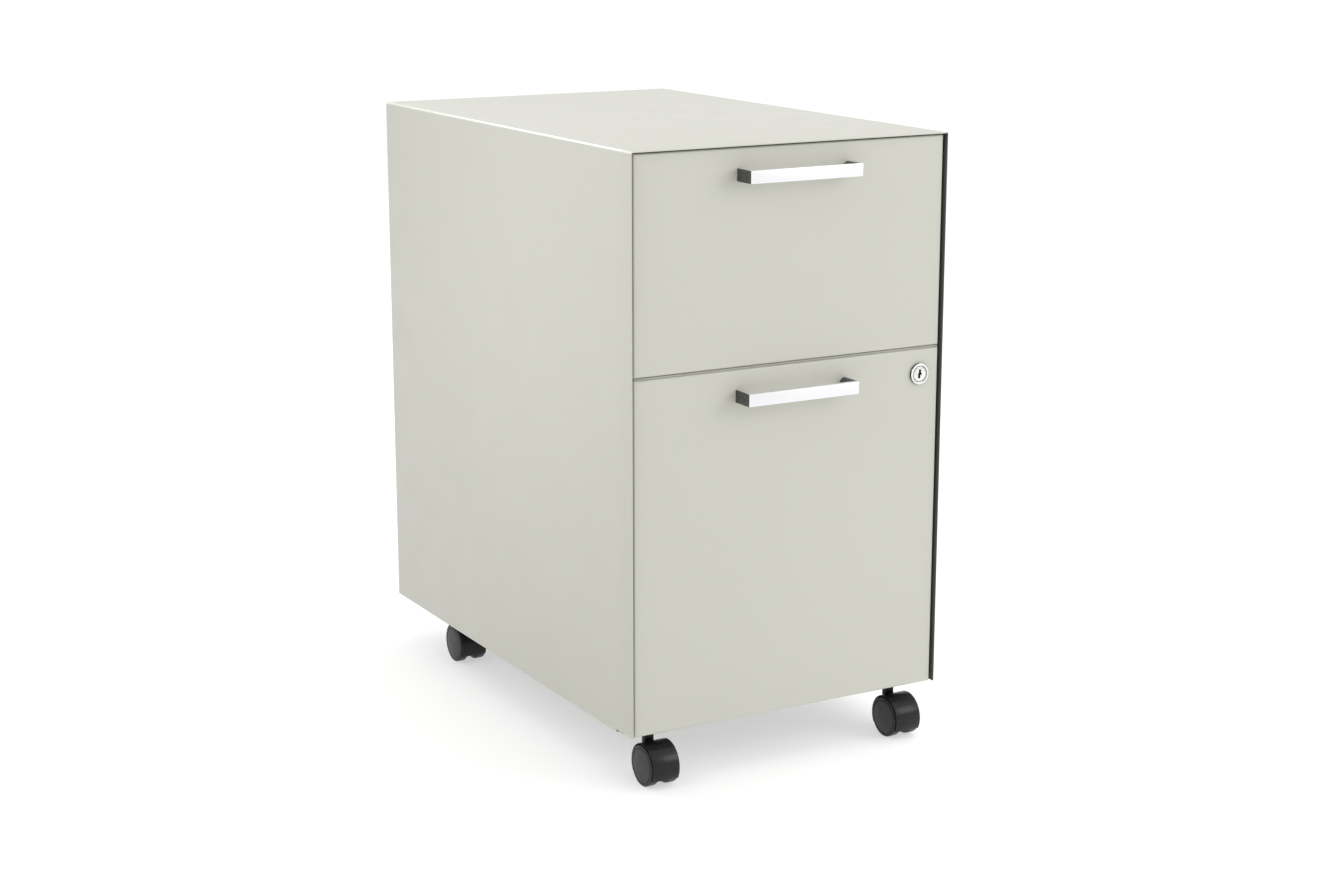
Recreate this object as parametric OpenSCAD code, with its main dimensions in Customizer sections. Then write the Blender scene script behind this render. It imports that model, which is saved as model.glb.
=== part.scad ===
// Mobile filing cabinet in sheet steel: a wrapped case on four twin-wheel casters,
// with a box drawer over a file drawer on ball-bearing slides, and one lock for both.
// Millimetres, +Z up, fronts facing -Y. The origin is on the floor under the middle
// of the footprint, which runs from the front of the handles to the back of the case.

/* [Case] */
// Width over the side panels
case_w = 318; // [300:1:400]
// Depth of the side panels, front edge to back edge
case_d = 508; // [420:1:620]
// Height of the side panels
case_h = 510; // [440:1:620]
// Thickness of the case and front sheet
sheet = 1; // [0.8:0.1:1.4]
// Inside radius of the case's top corner bends
wrap_bend = 1; // [0.6:0.1:2]
// Height of the notch in each side panel's lower front corner
notch_h = 3; // [1:0.5:5]
// Length of that notch
notch_l = 30; // [20:1:40]
// How far the back panel sits inside the case's back edge
back_inset = 3; // [1:0.5:6]
// Length of the back panel's forward flanges
back_flange = 15; // [10:1:25]
// Width of the side panels' bottom flanges
foot_flange = 14; // [10:1:18]

/* [Drawer fronts] */
// Height of the upper front
box_front_h = 188; // [160:0.5:210]
// Thickness of a front, face to back
front_t = 16; // [14:1:18]
// How far the fronts sit inside the case's front edge
front_recess = 2.4; // [0:0.2:4]
// Gap beside a front
side_gap = 2; // [1:0.2:3]
// Gap above the upper front
top_gap = 1; // [0.6:0.2:3]
// Gap between the two fronts
mid_gap = 2; // [2:0.2:5]
// Height of the lower front's bottom edge above the side panels' bottom
foot_gap = 2.6; // [1:0.2:5]
// Inside radius of a front's bends
front_bend = 1.2; // [0.6:0.1:2]

/* [Handles] */
// Length of a handle
handle_w = 112; // [80:1:160]
// Height of a handle's bar
handle_h = 11; // [9:0.5:14]
// Thickness of the bar
handle_t = 4; // [3:0.5:6]
// How far a handle stands out of its front
handle_reach = 22.5; // [18:0.5:30]
// Drop of a handle's middle below its front's top edge
handle_drop = 23; // [15:0.5:40]

/* [Drawers] */
// Thickness of the drawer body sheet
body_sheet = 1; // [0.8:0.1:1.2]
// Space behind the drawers
rear_space = 45; // [42:1:60]
// Height of the box drawer's bottom above its front's bottom edge
box_body_lift = 14; // [10:1:20]
// Height of the file drawer's bottom above its front's bottom edge
file_body_lift = 11.4; // [10.6:0.2:16]
// Drop of the box drawer's rim below its front's top edge
box_body_drop = 43.5; // [38:0.5:60]
// Drop of the file drawer's rim below its front's top edge
file_body_drop = 53.5; // [48:0.5:70]
// Width of a drawer's rim
rim_w = 6; // [4:1:8]

/* [Slides] */
// Height of a slide's section
slide_h = 45; // [42:1:46]
// Thickness of a slide from the upright to the drawer
slide_t = 12.7; // [12.7:0.1:13.4]
// Thickness of the slide members
slide_sheet = 1.2; // [1:0.1:1.2]
// Diameter of the slide balls
ball_d = 3.9; // [3.7:0.1:3.9]
// Balls in one row
ball_count = 7; // [4:1:7]
// Depth of the uprights that carry the slides
upright_t = 3; // [2.4:0.2:5]
// Width of an upright
upright_w = 30; // [24:1:36]

/* [Casters] */
// Height from the floor to the side panels' bottom
caster_h = 48; // [45:0.5:60]
// Wheel diameter
wheel_d = 37; // [36:0.5:40]
// Width over a caster's two wheels
caster_w = 30; // [26:0.2:32]
// Distance from a caster's neck to its axle
caster_trail = 14; // [12:0.5:16]
// Diameter of a caster's neck
neck_d = 10.5; // [9:0.5:14]
// Distance from a neck to the side panel's outside
caster_side = 31; // [28:1:40]
// Distance from a front neck to the case's front edge
caster_front = 29; // [28:1:50]
// Distance from a rear neck to the case's back edge
caster_rear = 84; // [80:1:110]

/* [Lock] */
// Distance from the lock's middle to the case's right side
lock_side = 24; // [23:0.5:28]
// Drop of the lock's middle below the lower front's top edge
lock_drop = 22.5; // [21:0.5:26]
// Diameter of the lock's rim
lock_d = 19; // [18:0.5:20]
// Diameter of the turning plug
plug_d = 13; // [12:0.5:13]
// Rise of the lock bar over a quarter turn
lock_rise = 12; // [11:0.5:12]

/* [Counterweight] */
// Width of the counterweight
weight_w = 270; // [200:1:276]
// Thickness of the counterweight
weight_t = 25; // [15:1:28]
// Height of the counterweight
weight_h = 160; // [80:1:200]

/* [Hidden] */

round_fn = 48;
slip = 0.2;          // clearance between pieces of one assembly that are put together
run_gap = 0.05;      // radial clearance of a turning fit
ball_gap = 0.1;      // clearance beside a ball
paint = "#d0cfc6";
dark = "#2e2f2d";
zinc = "#b9bdc2";
chrome = "#d8d8da";
plastic = "#1d1d1d";

// The case in the footprint's frame
y_shift = (handle_reach - front_recess) / 2;
y_front = -case_d / 2 + y_shift;
y_back = case_d / 2 + y_shift;
z_case = caster_h;
z_top = caster_h + case_h;
x_in = case_w / 2 - sheet;
z_floor = z_case + 2 * sheet;
y_back_face = y_back - back_inset - sheet;
back_corner_r = wrap_bend + 0.3;

// The fronts
front_hw = x_in - side_gap;
y_face = y_front + front_recess;
y_rear_of_front = y_face + front_t;
file_front_h = case_h - sheet - top_gap - box_front_h - mid_gap - foot_gap;
z_file = z_case + foot_gap;
z_box = z_file + file_front_h + mid_gap;
z_file_top = z_file + file_front_h;
z_box_top = z_box + box_front_h;

// The base
pan_front = y_rear_of_front + 1.6;
pan_lip = 8;
pan_hw = x_in - sheet - slip;
channel_t = 1.5;
channel_w = 34;
channel_h = 9;
stem_d = 8;
nut_af = 13;
nut_h = 6;
bolt_head_d = 14;
bolt_head_h = 3;
bolt_l = 18;

// The slides come in steps of 50
slide_y0 = y_front + 42;
slide_len = floor((case_d - 98) / 50) * 50;
x_slide = x_in - upright_t;
drawer_hw = x_slide - slide_t;
drawer_d = case_d - front_recess - front_t - rear_space;
box_slide_z = z_box + 49.5;
file_slide_z = z_file + 77.4;
upright_wall = 1.2;
front_upright_y = slide_y0 + 33;
rear_upright_y = slide_y0 + slide_len - 70;

// Slide section: v is the height from the slide's middle, u the distance in from the upright
outer_v = slide_h / 2;
row_gap = ball_d + 2 * ball_gap;
middle_v = outer_v - slide_sheet - row_gap;
inner_v = middle_v - slide_sheet - row_gap;
rear_ball_v = outer_v - slide_sheet - row_gap / 2;
front_ball_v = middle_v - slide_sheet - row_gap / 2;
middle_u0 = 3;
middle_u1 = 9.5;
middle_web_u = 4.5;
rear_ball_u = 6.4;
front_ball_u = 8.2;
cage_sheet = 0.6;
cage_len = 100;
cage_y0 = slide_y0 + (slide_len - cage_len) / 2 + 3;
inner_web = 1.2;

// The casters
wheel_r = wheel_d / 2;
wheel_gap = 0.7;
hood_ri = wheel_r + wheel_gap;
hood_ro = hood_ri + 1.1;
hood_foot = hood_ro / 2;
hood_hw = caster_w / 2 - 1.8;
web_hw = 4;
web_r = 14;
kingpin_d = 5;
kingpin_l = 19;
axle_d = 4;
neck_top = z_case + sheet;
boss_top = z_case - 3;
stem_flange_h = 1.5;
stem_flange_d = 15;
caster_x = case_w / 2 - caster_side;
front_neck_y = y_front + caster_front;
rear_neck_y = y_back - caster_rear;
wheel_in = web_hw + 0.3;
wheel_rim_x = caster_w / 2 - 1;

// The lock
lock_x = case_w / 2 - lock_side;
lock_z = z_file_top - lock_drop;
lock_proud = 2.5;
barrel_d = 16;
barrel_end = y_front + 28;
cam_y = y_front + 30.5;
cam_t = 2;
cam_l = 16;
cam_w = 6;
tail_w = 6;
keyway_h = 7.6;
keyway_w = 1.7;
bar_x0 = x_slide - 1;
bar_t = 1.5;
bar_y0 = y_front + 26;
bar_y1 = y_front + 38;
bar_tip_x = drawer_hw + 0.9;
hook_h = 10;
hook_y = y_front + 29;
strike_y = y_front + 34;
tab_t = 2;
box_strike_z = z_box + 94.5;
file_strike_z = z_file_top - 92.5;
hook_drop = 4;
bar_z0 = file_strike_z - 20;
bar_z1 = box_strike_z + 15;
guide_h = 12;
guide_x0 = bar_x0 - 1;

// The counterweight
weight_y1 = y_back_face - 3;
weight_y0 = weight_y1 - weight_t;
weight_bolt_x = weight_w / 2 - 30;

// Handle screws
screw_d = 3;
screw_head_d = 6;
screw_head_h = 2.2;
screw_depth = 12;
screw_inset = 2.6;

// A profile in X and Z, pulled along Y
module along_y(y0, y1) translate([0, y1, 0]) rotate([90, 0, 0]) linear_extrude(y1 - y0) children();

// A profile in Y and Z, pulled along X
module along_x(x0, x1) translate([x0, 0, 0]) rotate([90, 0, 90]) linear_extrude(x1 - x0) children();

// A block between two corners
module slab(x0, x1, y0, y1, z0, z1) translate([x0, y0, z0]) cube([x1 - x0, y1 - y0, z1 - z0]);

// A block centred on X
module bar(hw, y0, y1, z0, z1) slab(-hw, hw, y0, y1, z0, z1);

// A rectangle with rounded corners
module soft_rect(x0, x1, y0, y1, r) {
  translate([x0 + r, y0]) square([x1 - x0 - 2 * r, y1 - y0]);
  translate([x0, y0 + r]) square([x1 - x0, y1 - y0 - 2 * r]);
  for (x = [x0 + r, x1 - r], y = [y0 + r, y1 - r]) {
    translate([x, y]) circle(r, $fn = round_fn);
  }
}

// A block with its front edges rounded
module soft_block(hw, y0, y1, z0, z1, r) {
  intersection() {
    translate([0, 0, z0]) linear_extrude(z1 - z0) soft_rect(-hw, hw, y0, y1 + 2 * r, r);
    along_x(-hw, hw) soft_rect(y0, y1 + 2 * r, z0, z1, r);
    bar(hw, y0, y1, z0, z1);
  }
}

// The piece and its mirror image on the other side
module both_sides() {
  children();
  mirror([1, 0, 0]) children();
}

// A cylinder lying along Y
module rod_y(x, y0, y1, z, d) {
  translate([x, y1, z]) rotate([90, 0, 0]) cylinder(d = d, h = y1 - y0, $fn = round_fn);
}

// A standing cylinder
module rod_z(x, y, z0, z1, d) translate([x, y, z0]) cylinder(d = d, h = z1 - z0, $fn = round_fn);

// Puts a piece at each caster's neck
module at_casters() {
  for (x = [-caster_x, caster_x], y = [front_neck_y, rear_neck_y]) {
    translate([x, y, 0]) children();
  }
}

// Puts a piece at each counterweight bolt
module at_weight_bolts() {
  for (x = [-weight_bolt_x, weight_bolt_x]) {
    translate([x, (weight_y0 + weight_y1) / 2, 0]) children();
  }
}

// --- Case ---

module case_wrap() color(paint) difference() {
  union() {
    along_y(y_front, y_back) difference() {
      soft_rect(-case_w / 2, case_w / 2, 0, z_top, wrap_bend + sheet);
      soft_rect(-x_in, x_in, -z_top, z_top - sheet, wrap_bend);
      translate([-case_w, -1]) square([2 * case_w, z_case + 1]);
    }
    both_sides() slab(x_in - foot_flange, x_in + sheet / 2, y_front + notch_l, y_back, z_case, z_case + sheet);
  }
  bar(case_w, y_front - 1, y_front + notch_l, z_case - 1, z_case + notch_h);
}

module back_panel() color(paint) difference() {
  along_y(y_back_face + sheet - back_flange, y_back_face + sheet) difference() {
    soft_rect(-x_in, x_in, 0, z_top - sheet, back_corner_r);
    translate([-case_w, -1]) square([2 * case_w, z_case + sheet + 1]);
  }
  bar(x_in - sheet, y_back_face - back_flange - 1, y_back_face, 0, z_top - 2 * sheet);
}

module bottom_pan() color(dark) difference() {
  union() {
    bar(pan_hw, pan_front, y_back_face, z_case + sheet, z_floor);
    bar(pan_hw, pan_front, pan_front + sheet, z_case + sheet, z_case + sheet + pan_lip);
    bar(pan_hw, y_back_face - sheet, y_back_face, z_case + sheet, z_case + back_flange);
  }
  at_casters() rod_z(0, 0, z_case, z_floor + 1, stem_d + 2 * slip);
  at_weight_bolts() rod_z(0, 0, z_case, z_floor + 1, stem_d + 2 * slip);
}

module slide_uprights() color(zinc) both_sides() {
  for (y = [front_upright_y, rear_upright_y]) {
    difference() {
      slab(x_slide, x_in, y - upright_w / 2, y + upright_w / 2, z_floor, z_top - 20);
      slab(x_slide + upright_wall, x_in + 1, y - upright_w / 2 + upright_wall,
           y + upright_w / 2 - upright_wall, z_floor - 1, z_top);
    }
  }
}

module top_stiffener() color(dark) {
  z1 = z_top - sheet;
  y0 = slide_y0 + 18;
  hw = x_slide - 2;
  bar(hw, y0 + 10, y0 + 40, z1 - 12, z1 - 12 + sheet);
  for (y = [y0, y0 + 40 - sheet]) {
    bar(hw, y, y + 10 + sheet, z1 - sheet, z1);
  }
  for (y = [y0 + 10, y0 + 40 - sheet]) {
    bar(hw, y, y + sheet, z1 - 12, z1);
  }
}

module base_channels() color(zinc) for (y = [front_neck_y, rear_neck_y]) {
  difference() {
    bar(pan_hw - slip, max(y - channel_w / 2, pan_front + sheet), y + channel_w / 2,
        z_floor, z_floor + channel_h);
    bar(case_w, max(y - channel_w / 2, pan_front + sheet) + channel_t, y + channel_w / 2 - channel_t,
        z_floor + channel_t, z_floor + channel_h + 1);
    at_casters() rod_z(0, 0, z_case, z_floor + 5, stem_d + 2 * slip);
  }
}

module caster_nuts() color(zinc) at_casters() difference() {
  z0 = z_floor + channel_t;
  translate([0, 0, z0]) cylinder(d = nut_af / cos(30), h = nut_h, $fn = 6);
  rod_z(0, 0, z0 - 1, z0 + nut_h + 1, stem_d + 2 * run_gap);
}

module caster_stems() color(zinc) at_casters() {
  rod_z(0, 0, neck_top, z_floor + channel_t + nut_h + 1, stem_d);
  rod_z(0, 0, neck_top - stem_flange_h, neck_top, stem_flange_d);
  rod_z(0, 0, boss_top + 0.3, neck_top - stem_flange_h, neck_d);
  rod_z(0, 0, boss_top + 0.3 - kingpin_l, neck_top, kingpin_d);
}

module counterweight() color("#3a3b3d") difference() {
  bar(weight_w / 2, weight_y0, weight_y1, z_floor, z_floor + weight_h);
  at_weight_bolts() rod_z(0, 0, z_floor - 1, z_floor + bolt_l + 2, stem_d + 2 * run_gap);
}

module counterweight_bolts() color(zinc) at_weight_bolts() {
  translate([0, 0, neck_top - bolt_head_h]) cylinder(d = bolt_head_d, h = bolt_head_h, $fn = 6);
  rod_z(0, 0, neck_top - bolt_head_h, z_floor + bolt_l, stem_d);
}

// --- Slides ---

// Places a section of u and v as a member on the right side, at a slide's height
module member(y0, z) {
  along_y(y0, y0 + slide_len) translate([x_slide, z]) mirror([1, 0]) children();
}

// A sheet section from u0 to u1 and v high each way
module section_block(u0, u1, v) translate([u0, -v]) square([u1 - u0, 2 * v]);

module outer_section() {
  u1 = slide_t - 0.7;
  difference() {
    section_block(0, u1, outer_v);
    section_block(slide_sheet, u1 - slide_sheet, outer_v - slide_sheet);
    section_block(u1 - slide_sheet - 1, u1 + 1, outer_v - 2.5);
  }
}

module middle_section() difference() {
  section_block(middle_u0, middle_u1, middle_v);
  section_block(middle_u0 - 1, middle_web_u, middle_v - slide_sheet);
  section_block(middle_web_u + slide_sheet, middle_u1 + 1, middle_v - slide_sheet);
}

module inner_section() {
  u0 = middle_web_u + slide_sheet + 1.5;
  difference() {
    section_block(u0, slide_t, inner_v);
    section_block(u0 - 1, slide_t - inner_web, inner_v - inner_web);
  }
}

module outer_member(z) color(zinc) member(slide_y0, z) outer_section();
module middle_member(z) color(zinc) member(slide_y0, z) middle_section();
module inner_member(z) color(zinc) member(slide_y0, z) inner_section();

// A bent strip that spaces two rows of balls, with its balls; web_u is its web's near side
module ball_cage(z, web_u, ball_u, ball_v) {
  flange_u = ball_u + ball_d / 2 + 0.4;
  step = cage_len / ball_count;
  ball_ys = [for (i = [0:ball_count - 1]) cage_y0 + step * (i + 0.5)];
  translate([x_slide, 0, z]) mirror([1, 0, 0]) {
    difference() {
      union() {
        slab(web_u, web_u + cage_sheet, cage_y0, cage_y0 + cage_len, -ball_v, ball_v);
        for (side = [-1, 1]) {
          translate([0, 0, side * ball_v]) slab(web_u, flange_u, cage_y0, cage_y0 + cage_len,
                                                -cage_sheet / 2, cage_sheet / 2);
        }
      }
      for (y = ball_ys) translate([ball_u, y, -ball_v - 1]) {
        cylinder(d = ball_d + 2 * ball_gap, h = 2 * ball_v + 2, $fn = round_fn);
      }
    }
    for (y = ball_ys, side = [-1, 1]) {
      translate([ball_u, y, side * ball_v]) sphere(d = ball_d, $fn = round_fn);
    }
  }
}

module rear_cages(z) color(zinc) both_sides() {
  ball_cage(z, slide_sheet + 0.5, rear_ball_u, rear_ball_v);
}

module front_cages(z) color(zinc) both_sides() {
  ball_cage(z, middle_web_u + slide_sheet + 0.4, front_ball_u, front_ball_v);
}

// --- Drawers ---

// An open box with a rim along its sides
module drawer_box(z0, z1) {
  y0 = y_rear_of_front;
  y1 = y0 + drawer_d;
  difference() {
    bar(drawer_hw, y0, y1, z0, z1);
    bar(drawer_hw - body_sheet, y0 + body_sheet, y1 - body_sheet, z0 + body_sheet, z1 + 1);
  }
  both_sides() slab(drawer_hw - body_sheet - rim_w, drawer_hw - body_sheet / 2, y0, y1, z1 - body_sheet, z1);
}

// The tab on a drawer's right side that the lock bar's hook stops
module strike(z) slab(drawer_hw - 0.5, bar_x0 - 2, strike_y, strike_y + tab_t, z, z + hook_h);

// A folded sheet front with rounded front edges
module front_pan(z0, z1) {
  difference() {
    soft_block(front_hw, y_face, y_rear_of_front, z0, z1, front_bend + sheet);
    soft_block(front_hw - sheet, y_face + sheet, y_rear_of_front + 1, z0 + sheet, z1 - sheet, front_bend);
  }
}

// The shallow tray that closes a front's back
module liner_pan(z0, z1) {
  hw = front_hw - sheet - slip;
  y0 = y_rear_of_front - 8;
  a = z0 + sheet + slip;
  b = z1 - sheet - slip;
  difference() {
    bar(hw, y0, y_rear_of_front, a, b);
    bar(hw - sheet, y0 - 1, y_rear_of_front - sheet, a + sheet, b - sheet);
  }
}

module at_handle_legs() {
  for (side = [-1, 1]) translate([side * (handle_w / 2 - screw_inset), 0, 0]) children();
}

// A flat bar on two half-round legs
module handle(z_front_top) {
  z = z_front_top - handle_drop;
  y0 = y_face - handle_reach;
  difference() {
    union() {
      bar(handle_w / 2, y0, y0 + handle_t, z - handle_h / 2, z + handle_h / 2);
      intersection() {
        both_sides() rod_y(handle_w / 2, y0 + handle_t / 2, y_face, z, handle_h);
        bar(handle_w / 2, y0, y_face, z - handle_h, z + handle_h);
      }
    }
    at_handle_legs() rod_y(0, y_face - screw_depth - 1, y_face + 1, z, screw_d);
  }
}

module handle_screws(z_front_top) {
  z = z_front_top - handle_drop;
  at_handle_legs() {
    rod_y(0, y_face - screw_depth, y_face + sheet + 0.5, z, screw_d - 2 * run_gap);
    rod_y(0, y_face + sheet, y_face + sheet + screw_head_h, z, screw_head_d);
  }
}

// The holes that a handle's screws pass through
module handle_holes(z_front_top) {
  at_handle_legs() rod_y(0, y_face - 1, y_face + sheet + 1, z_front_top - handle_drop, screw_d + 2 * slip);
}

module box_drawer_body() color(paint) {
  drawer_box(z_box + box_body_lift, z_box_top - box_body_drop);
  strike(box_strike_z);
}

module box_drawer_front() color(paint) difference() {
  front_pan(z_box, z_box_top);
  handle_holes(z_box_top);
}

module box_front_liner() color(paint) liner_pan(z_box, z_box_top);
module box_handle() color(chrome) handle(z_box_top);
module box_handle_screws() color(zinc) handle_screws(z_box_top);

module file_drawer_body() color(paint) {
  drawer_box(z_file + file_body_lift, z_file_top - file_body_drop);
  strike(file_strike_z);
}

module file_drawer_front() color(paint) difference() {
  front_pan(z_file, z_file_top);
  handle_holes(z_file_top);
  rod_y(lock_x, y_face - 1, y_face + sheet + 1, lock_z, barrel_d + 2 * slip);
}

module file_front_liner() color(paint) difference() {
  liner_pan(z_file, z_file_top);
  rod_y(lock_x, y_rear_of_front - sheet - 1, y_rear_of_front + 1, lock_z, barrel_d + 2 * slip);
}

module file_handle() color(chrome) handle(z_file_top);
module file_handle_screws() color(zinc) handle_screws(z_file_top);

// Two bars across the file drawer, which hanging folders hook on
module folder_rails() color(zinc) {
  z1 = z_file_top - file_body_drop;
  hw = drawer_hw - body_sheet - rim_w - 0.3;
  y0 = y_rear_of_front + 30;
  for (y = [y0, y0 + min(300, drawer_d - 60)]) {
    bar(hw, y, y + 2.5, z1 - 14, z1 + 1.5);
    bar(drawer_hw - 1, y, y + 2.5, z1, z1 + 1.5);
  }
}

// --- Lock ---

module lock_housing() color(chrome) difference() {
  union() {
    translate([lock_x, y_face, lock_z]) rotate([90, 0, 0]) {
      cylinder(d = lock_d, h = lock_proud - 1.2, $fn = round_fn);
      translate([0, 0, lock_proud - 1.2]) cylinder(d1 = lock_d, d2 = lock_d - 2, h = 1.2, $fn = round_fn);
    }
    rod_y(lock_x, y_face, barrel_end, lock_z, barrel_d);
  }
  rod_y(lock_x, y_face - lock_proud - 1, barrel_end + 1, lock_z, plug_d + 2 * run_gap);
}

module lock_nut() color(zinc) translate([lock_x, y_face + sheet, lock_z]) rotate([-90, 0, 0]) difference() {
  cylinder(d = 20 / cos(30), h = 4, $fn = 6);
  translate([0, 0, -1]) cylinder(d = barrel_d + 2 * run_gap, h = 6, $fn = round_fn);
}

module lock_plug() color(chrome) difference() {
  union() {
    rod_y(lock_x, y_face - lock_proud + 0.2, barrel_end + 0.3, lock_z, plug_d);
    rod_y(lock_x, barrel_end, cam_y, lock_z, plug_d - 3);
    translate([lock_x, 0, lock_z]) {
      bar(tail_w / 2 - run_gap, cam_y - 1, cam_y + cam_t + 1.5, run_gap - tail_w / 2, tail_w / 2 - run_gap);
    }
  }
  translate([lock_x, 0, lock_z]) along_y(y_face - lock_proud - 1, y_face + 8) {
    translate([-keyway_w / 2, 0]) square([keyway_w, keyway_h / 2]);
    translate([-keyway_w, -keyway_h / 2]) square([keyway_w, keyway_h / 2 + 0.6]);
    translate([-keyway_w, -0.5]) square([2 * keyway_w, 1.1]);
  }
}

module lock_cam() color(zinc) translate([lock_x, 0, lock_z]) along_y(cam_y, cam_y + cam_t) difference() {
  union() {
    circle(d = tail_w * 1.9, $fn = round_fn);
    translate([-cam_w / 2, -cam_l]) square([cam_w, cam_l]);
  }
  square(tail_w, center = true);
}

// A strip that slides up the right side wall, with a hook for each drawer and a tab over the cam
module lock_bar() color(zinc) {
  slab(bar_x0, bar_x0 + bar_t, bar_y0, bar_y1, bar_z0, bar_z1);
  for (z = [box_strike_z, file_strike_z] - [hook_h + hook_drop, hook_h + hook_drop]) {
    slab(bar_tip_x, bar_x0 + bar_t, hook_y, hook_y + tab_t, z, z + hook_h);
  }
  slab(bar_tip_x, bar_x0 + bar_t, hook_y, cam_y + cam_t + 1, lock_z - 8.8, lock_z - 4.8);
}

module lock_bar_guides() color(plastic) {
  for (z = [file_strike_z + 20, box_slide_z - outer_v - 6 - guide_h]) {
    difference() {
      slab(guide_x0, x_in, bar_y0 - 2, bar_y1 + 1.6, z, z + guide_h);
      slab(bar_x0 - slip, bar_x0 + bar_t + slip, bar_y0 - slip, bar_y1 + slip, z - 1, z + guide_h + 1);
    }
  }
}

// --- Casters ---

// The hood with its axle along X through the origin
module hood() {
  difference() {
    union() {
      along_x(-hood_hw, hood_hw) difference() {
        circle(hood_ro, $fn = 96);
        circle(hood_ri, $fn = 96);
        translate([-hood_ro, -2 * hood_ro - hood_foot]) square(2 * hood_ro);
      }
      along_x(-web_hw, web_hw) {
        circle(web_r, $fn = round_fn);
        difference() {
          circle(hood_ri + 0.2, $fn = 96);
          translate([-hood_ro, -2 * hood_ro - hood_foot]) square(2 * hood_ro);
        }
      }
      difference() {
        rod_z(0, caster_trail, 0, boss_top - wheel_r, neck_d);
        along_x(-neck_d, neck_d) circle(hood_ri, $fn = 96);
      }
    }
    rod_z(0, caster_trail, boss_top - wheel_r - kingpin_l - 0.3, boss_top, kingpin_d + 2 * run_gap);
    rotate([0, 90, 0]) cylinder(d = axle_d + 2 * run_gap, h = 4 * web_hw, center = true, $fn = round_fn);
  }
}

module axle() {
  rotate([0, 90, 0]) cylinder(d = axle_d, h = 2 * (wheel_rim_x - 1.3), center = true, $fn = round_fn);
}

// The wheel on the +X side of the hood, hollow behind its cover
module wheel() {
  rim_in = wheel_r - 4.5;
  dome_r = wheel_r - 3;
  dome_h = caster_w / 2 - wheel_rim_x;
  dome_ball = (dome_r * dome_r + dome_h * dome_h) / (2 * dome_h);
  rotate([90, 0, 90]) rotate_extrude($fn = 96) {
    difference() {
      union() {
        translate([rim_in, wheel_in]) square([wheel_r - 3 - rim_in, wheel_rim_x - wheel_in]);
        translate([rim_in, wheel_in + 3]) square([wheel_r - rim_in, wheel_rim_x - 1 - wheel_in - 3]);
        translate([wheel_r - 3, wheel_in + 3]) circle(3, $fn = round_fn);
        translate([wheel_r - 1, wheel_rim_x - 1]) circle(1, $fn = round_fn);
        translate([rim_in, wheel_rim_x - 2]) square([wheel_r - 1 - rim_in, 2]);
        translate([0, wheel_rim_x - 2]) square([rim_in + 1, 2]);
        translate([0, wheel_in]) square([4.5, wheel_rim_x - wheel_in]);
        intersection() {
          translate([0, caster_w / 2 - dome_ball]) circle(dome_ball, $fn = 256);
          translate([0, wheel_rim_x - 1]) square([dome_r, dome_h + 2]);
        }
      }
      translate([-1, wheel_in - 1]) square([1 + axle_d / 2 + run_gap, wheel_rim_x - 1 - wheel_in + 1]);
    }
  }
}

// Places a caster piece: side is -1 or 1, and y is its neck's place
module at_caster(side, y) translate([side * caster_x, y - caster_trail, wheel_r]) children();
module outer_wheel(side, y) color(plastic) at_caster(side, y) scale([side, 1, 1]) wheel();
module inner_wheel(side, y) color(plastic) at_caster(side, y) scale([-side, 1, 1]) wheel();

// --- Pieces ---

case_wrap();
back_panel();
bottom_pan();
slide_uprights();
top_stiffener();
base_channels();
caster_nuts();
caster_stems();
counterweight();
counterweight_bolts();
lock_bar_guides();

mirror([1, 0, 0]) outer_member(box_slide_z);  // box_slide_outer_left
outer_member(box_slide_z);  // box_slide_outer_right
mirror([1, 0, 0]) outer_member(file_slide_z);  // file_slide_outer_left
outer_member(file_slide_z);  // file_slide_outer_right
mirror([1, 0, 0]) middle_member(box_slide_z);  // box_slide_middle_left
middle_member(box_slide_z);  // box_slide_middle_right
mirror([1, 0, 0]) middle_member(file_slide_z);  // file_slide_middle_left
middle_member(file_slide_z);  // file_slide_middle_right
mirror([1, 0, 0]) inner_member(box_slide_z);  // box_slide_inner_left
inner_member(box_slide_z);  // box_slide_inner_right
mirror([1, 0, 0]) inner_member(file_slide_z);  // file_slide_inner_left
inner_member(file_slide_z);  // file_slide_inner_right
rear_cages(box_slide_z);  // box_rear_ball_cages
front_cages(box_slide_z);  // box_front_ball_cages
rear_cages(file_slide_z);  // file_rear_ball_cages
front_cages(file_slide_z);  // file_front_ball_cages

box_drawer_body();
box_drawer_front();
box_front_liner();
box_handle();
box_handle_screws();
file_drawer_body();
file_drawer_front();
file_front_liner();
file_handle();
file_handle_screws();
folder_rails();

lock_housing();
lock_nut();
lock_plug();
lock_cam();
lock_bar();

color(plastic) at_caster(-1, front_neck_y) hood();  // hood_front_left
color(plastic) at_caster(1, front_neck_y) hood();  // hood_front_right
color(plastic) at_caster(-1, rear_neck_y) hood();  // hood_rear_left
color(plastic) at_caster(1, rear_neck_y) hood();  // hood_rear_right
color(zinc) at_caster(-1, front_neck_y) axle();  // axle_front_left
color(zinc) at_caster(1, front_neck_y) axle();  // axle_front_right
color(zinc) at_caster(-1, rear_neck_y) axle();  // axle_rear_left
color(zinc) at_caster(1, rear_neck_y) axle();  // axle_rear_right
outer_wheel(-1, front_neck_y);  // wheel_front_left_outer
inner_wheel(-1, front_neck_y);  // wheel_front_left_inner
outer_wheel(1, front_neck_y);  // wheel_front_right_outer
inner_wheel(1, front_neck_y);  // wheel_front_right_inner
outer_wheel(-1, rear_neck_y);  // wheel_rear_left_outer
inner_wheel(-1, rear_neck_y);  // wheel_rear_left_inner
outer_wheel(1, rear_neck_y);  // wheel_rear_right_outer
inner_wheel(1, rear_neck_y);  // wheel_rear_right_inner
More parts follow.
